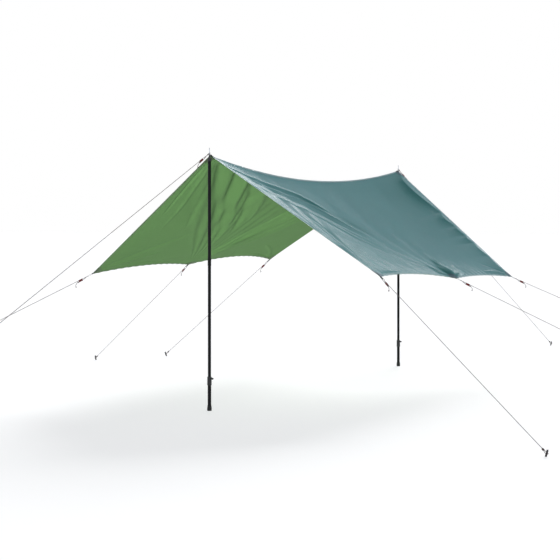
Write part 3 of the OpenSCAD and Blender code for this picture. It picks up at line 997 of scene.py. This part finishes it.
def strap_path(line):
    """Points, widths' directions and half widths of a strap: on the cloth, out, round and back below it."""
    slope_run = abs(line.pull[0]) / math.cos(math.radians(36))
    inward = unit((slope_run, abs(line.pull[1])))
    s, e = 2 * line.side - 1, line.place - 1
    points, across, halves = [], [], []

    def inside(distance, lift):
        u = s * (1 - inward[0] * distance / SLOPE)
        v = e - np.sign(line.pull[1]) * inward[1] * distance / RIDGE_HALF
        here, normal = canopy([u], [v], lift)
        points.append(here[0])
        across.append(unit(np.cross(normal[0], line.pull)))
        halves.append(STRAP_HALF)

    def outside(x, z, half):
        points.append(line.at(x, 0, z))
        across.append(line.left)
        halves.append(half)

    for distance in np.linspace(STRAP_INSIDE, 0.004, 9):
        inside(distance, 0.0026)
    for x, half in zip(STRAP_OUT, STRAP_NARROW):
        outside(x, STRAP_FOLD + 0.0006 * math.sin(x * 60), half)
    for a in np.linspace(math.pi / 2, -math.pi / 2, 9):
        x = STRAP_TIP - STRAP_FOLD + STRAP_FOLD * math.cos(a)
        outside(x, STRAP_FOLD * math.sin(a), STRAP_NARROW[-1])
    for x, half in zip(STRAP_OUT[::-1], STRAP_NARROW[::-1]):
        outside(x, -STRAP_FOLD - 0.0006 * math.sin(x * 60), half)
    for distance in np.linspace(0.004, STRAP_INSIDE, 9):
        inside(distance, -0.0018)
    return np.array(points), np.array(across), np.array(halves)


def strap_mesh(line):
    """A strap as a swept flat band whose outer end bows round the turn of cord in it."""
    path, across, halves = strap_path(line)
    tangents = unit(np.gradient(path, axis=0))
    across = unit(across - tangents * np.sum(across * tangents, -1, keepdims=True))
    up = np.cross(tangents, across)
    ribs = (-1, -0.93, -0.5, 0, 0.5, 0.93, 1)
    outline = [(y, z * (0.45 if abs(y) == 1 else 1))
               for z, ys in ((0.5, ribs), (-0.5, ribs[::-1])) for y in ys]
    rows, uvs = [], []
    for k, (p, run) in enumerate(zip(path, run_along(path))):
        x = float(np.dot(p - line.top, line.pull))
        near_tip = smooth_step((x - 0.020) / 0.016)
        ring = []
        for y, z in outline:
            wide = y * halves[k]
            bow = EYE_DEEP * (1 - math.sqrt(1 - (wide / EYE_WIDE) ** 2)) * near_tip
            ring.append(p + wide * across[k] + z * STRAP_T * up[k] + bow * line.pull)
            uvs.append((run, wide))
        rows.append(ring)
    return np.array(rows).reshape(-1, 3), swept_faces(len(rows), len(outline), flip=True), uvs


def add_straps():
    """The webbing loops of the tie-outs, each with a box and a cross of stitches on both faces."""
    points, faces, uvs = [], [], []
    sewing_points, sewing_faces = [], []
    for line in LINES:
        if line.at_pole:
            continue
        more, some, uv = strap_mesh(line)
        gather(points, faces, more, some)
        uvs.extend(uv)
        path, across, _ = strap_path(line)
        for part, sign in ((slice(1, 7), 1), (slice(len(path) - 7, len(path) - 1), -1)):
            centre, wide = path[part], STRAP_SEWN * across[part]
            flat = np.cross(wide, np.gradient(centre, axis=0))
            normal = unit(flat) * (1 if np.dot(flat[2], (0, 0, sign)) > 0 else -1)
            top = centre + 0.5 * STRAP_T * normal
            f = np.linspace(-1, 1, len(centre))[:, None]
            for row in (top + wide, top - wide, top + f * wide, top - f * wide):
                gather(sewing_points, sewing_faces, *stitch_row(row, normal, 0.0034, 0.0026, 0.00032, 0.0004))
    piece = add_mesh("tie_out_straps", points, faces, [WEBBING], uv=uvs)
    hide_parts("webbing_loops")
    sewing = add_mesh("strap_stitching", sewing_points, sewing_faces, [DARK_THREAD], smooth=False)
    for each in (piece, sewing):
        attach(each, "shelter")
    return [piece, sewing]


# ---- peak tabs

TAB_HALF = 0.0125
TAB_IN = 0.070
TAB_OUT = 0.012
TAB_H = 2.0042
TAB_T = 0.0025
TAB_HOLE = 0.0066
TAB_FLAT = 0.012  # how far the tab stays flat, inwards from the spike
TAB_BEND = 0.030  # length over which it then comes down onto the ridge
RIDGE_TILT = 2 * RIDGE_SAG / RIDGE_HALF


def add_peak_tab(end):
    """The webbing tab at a peak: flat round its grommet, and draped over the ridge further in."""
    s = 2 * end - 1
    rays, steps = 64, 16
    rows = []
    for a in 2 * math.pi * np.arange(rays) / rays:
        dx, dy = math.cos(a), math.sin(a)
        to_side = TAB_HALF / max(abs(dx), 1e-9)
        to_end = (TAB_OUT if dy > 0 else TAB_IN) / max(abs(dy), 1e-9)
        r = TAB_HOLE + np.linspace(0, 1, steps) ** 1.3 * (min(to_side, to_end) - TAB_HOLE)
        rows.append(np.stack([r * dx, r * dy], -1))
    x, y = np.moveaxis(np.array(rows), -1, 0)
    level = TAB_H + RIDGE_TILT * y
    world_y = s * (POLE_Y + y)
    v = np.clip(world_y / RIDGE_HALF, -1, 1)
    drape = canopy(np.where(np.abs(x) < 1e-6, 1e-6, x) / CORNER_X, v, 0.0024)[0][..., 2]
    bend = smooth_step((-y - TAB_FLAT) / TAB_BEND)
    low = np.maximum(level + (drape - level) * bend, np.where(y < -TAB_FLAT, drape, level))
    points = []
    for lift in (TAB_T * (1 - 0.3 * bend), 0 * bend):
        points.extend(np.stack([x, world_y, low + lift], -1).reshape(-1, 3))
    n = rays * steps
    flip = s < 0
    top = grid_faces(rays, steps, 0, not flip, closed_rows=True)
    under = grid_faces(rays, steps, n, flip, closed_rows=True)
    sides = []
    for j in range(rays):
        k = (j + 1) % rays
        for i, out in ((0, False), (steps - 1, True)):
            face = (j * steps + i, k * steps + i, k * steps + i + n, j * steps + i + n)
            sides.append(face if out == flip else face[::-1])
    uv = np.tile(np.stack([y, x], -1).reshape(-1, 2), (2, 1))
    name = ("front", "rear")[end]
    piece = add_mesh(f"peak_webbing_{name}", points, top + under + sides, [WEBBING], uv=uv)
    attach(piece, "shelter")
    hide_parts(f"{name}_peak_tab")
    return piece


# ---- pieces from the frame

def paint_node(name, material):
    mesh = nodes[name].data
    mesh.materials.clear()
    mesh.materials.append(material)


def paint_frame():
    """Materials of the solid pieces that are shown as they were packed."""
    pole = {"grommet": GROMMET, "spike": SPIKE, "top_cap": PLASTIC, "upper_tube": TUBE, "ferrule": TUBE,
            "middle_tube": TUBE, "lower_tube": TUBE, "clamp_collar": PLASTIC, "clamp_screw": KNOB,
            "foot": RUBBER}
    for end in ("front", "rear"):
        for piece, material in pole.items():
            paint_node(f"{end}_{piece}", material)
    for line in LINES:
        paint_node(f"slider_{line.name}", SLIDER)
        paint_node(f"stake_{line.name}", STAKE)


# ---- studio and assembly

FLOOR_HALF = 150.0
FLOOR_GREYS = ((0.29, 0.29, 0.29), (0.31, 0.31, 0.31))
FLOOR_GLOW = 0.68  # light of its own, so that it comes out as pale as the background


def add_floor():
    """A plain pale floor."""
    paint = Paint("floor", 0.9, 1.3)
    speckle = paint.noise(paint.coordinates.outputs["Object"], 3.0, 3.0)
    paint.colour(paint.mix(speckle, *FLOOR_GREYS))
    paint.surface.inputs["Emission Color"].default_value = (1, 1, 1, 1)
    paint.surface.inputs["Emission Strength"].default_value = FLOOR_GLOW
    corners = [(x * FLOOR_HALF, y * FLOOR_HALF, 0) for x, y in ((-1, -1), (1, -1), (1, 1), (-1, 1))]
    add_mesh("floor", corners, [(0, 1, 2, 3)], [paint.material], smooth=False)


# The sky's light from level (0) to overhead (1).
SKY = ((0.0, (2.1, 2.2, 2.3)), (0.13, (1.30, 1.40, 1.50)), (0.25, (0.33, 0.39, 0.47)),
       (0.48, (0.44, 0.50, 0.58)), (0.62, (0.20, 0.22, 0.25)), (1.0, (0.24, 0.25, 0.27)))
# A soft bright patch low behind the shelter: its direction, the cosine at its rim, and its light.
GLOW_TOWARDS = Vector((-0.44, 0.88, 0.12)).normalized()
GLOW_RIM = 0.95
GLOW_LIGHT = 1.8


def add_world():
    """Soft studio light: bright low down and dimmer above, and plain white to the camera."""
    world = bpy.data.worlds.new("studio")
    bpy.context.scene.world = world
    world.use_nodes = True
    sky = Nodes(world.node_tree)
    towards = sky.add("TexCoord").outputs["Generated"]
    ramp = sky.add("ValToRGB", {0: sky.add("SeparateXYZ", {0: towards}).outputs[2]})
    stops = ramp.color_ramp.elements
    for position, _ in SKY[1:-1]:
        stops.new(position)
    for stop, (_, colour) in zip(stops, SKY):
        stop.color = (*colour, 1)
    cosine = sky.add("VectorMath", {0: towards, 1: GLOW_TOWARDS}, operation="DOT_PRODUCT").outputs["Value"]
    glow = sky.add("MapRange", {"Value": cosine, "From Min": GLOW_RIM, "To Max": GLOW_LIGHT},
                   interpolation_type="SMOOTHSTEP")
    light = sky.add("VectorMath", {0: ramp.outputs[0], 1: glow.outputs[0]})
    to_camera = sky.add("LightPath").outputs["Is Camera Ray"]
    background = world.node_tree.nodes["Background"].inputs["Color"]
    sky.link(sky.mix(to_camera, light.outputs[0], (1, 1, 1)), background)


def add_sun(name, towards, angle, power):
    """A distant soft light that leaves no highlights. towards points from the object to the light."""
    data = bpy.data.lights.new(name, "SUN")
    data.angle = math.radians(angle)
    data.energy = power
    light = bpy.data.objects.new(name, data)
    light.location = 6 * Vector(towards)
    light.visible_glossy = False
    light.rotation_euler = Vector(towards).to_track_quat("Z", "Y").to_euler()
    bpy.context.scene.collection.objects.link(light)


cloth = add_canopy()
hems = add_hems()
seam = add_ridge_seam()
patches = add_patches()
stitches = add_stitching()
straps = add_straps()
tabs = [add_peak_tab(end) for end in (0, 1)]
paint_frame()
add_floor()
add_world()
add_sun("key", (-0.15, 0.86, 0.48), 24, 5.0)
bpy.context.scene.view_settings.view_transform = "Standard"
